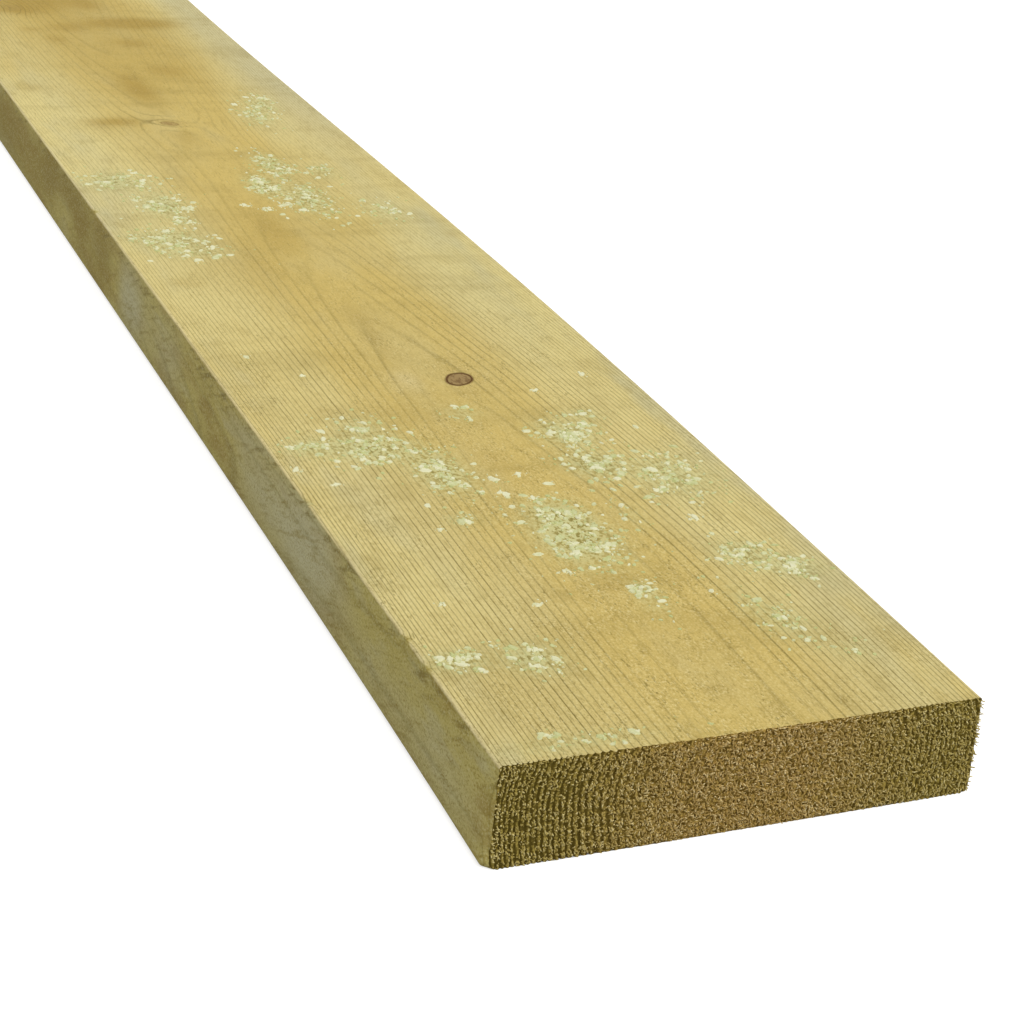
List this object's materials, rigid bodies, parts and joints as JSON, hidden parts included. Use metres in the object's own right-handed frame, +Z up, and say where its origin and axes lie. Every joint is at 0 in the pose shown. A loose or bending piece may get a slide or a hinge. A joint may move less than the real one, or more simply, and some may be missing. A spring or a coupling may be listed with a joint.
{
  "type": "timber lumber plank",
  "caption": "Long flat plank of green-treated softwood with rough-docked ends, rounded lower arrises and nearly sharp upper arrises, for joists, decking frames and general building work.",
  "frame": {"origin": "middle of the underside, on the surface that the plank lies on", "axes": "+X along the length towards the pictured end, +Y across the width, +Z up through the thickness"},
  "size_m": [2.4, 0.225, 0.047],
  "materials": {
    "treated_softwood": "matte",
    "dried_preservative": "matte"
  },
  "bodies": {
    "root": {"plank": "treated_softwood"}
  },
  "joints": []
}
